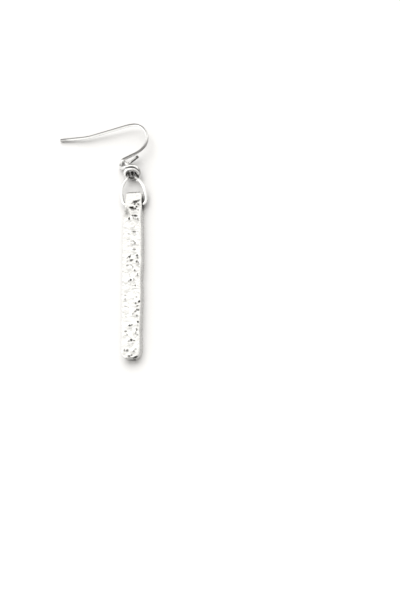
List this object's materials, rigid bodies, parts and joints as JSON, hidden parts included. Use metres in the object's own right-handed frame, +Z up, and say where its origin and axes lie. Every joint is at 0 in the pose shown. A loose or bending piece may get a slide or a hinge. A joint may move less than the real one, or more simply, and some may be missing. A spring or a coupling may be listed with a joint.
{
  "type": "bar earring",
  "caption": "Drop earring lying face up: a hammered flat bar hangs by a wire oval with a wrapped neck from a French ear hook.",
  "frame": {"origin": "centre of the bar's flat back, on the surface the earring lies on", "axes": "+Y runs up the bar towards the ear hook, +X is to the right of the bar seen from its hammered front, +Z is up, out of the hammered front"},
  "size_m": [0.0255, 0.0651, 0.004],
  "materials": {
    "bar_silver": "polished silver plate over a hammered casting",
    "wire_silver": "polished silver-plated round wire"
  },
  "bodies": {
    "root": {"hammered_bar": "bar_silver", "wrapped_bail": "wire_silver", "ear_hook": "wire_silver"}
  },
  "joints": []
}
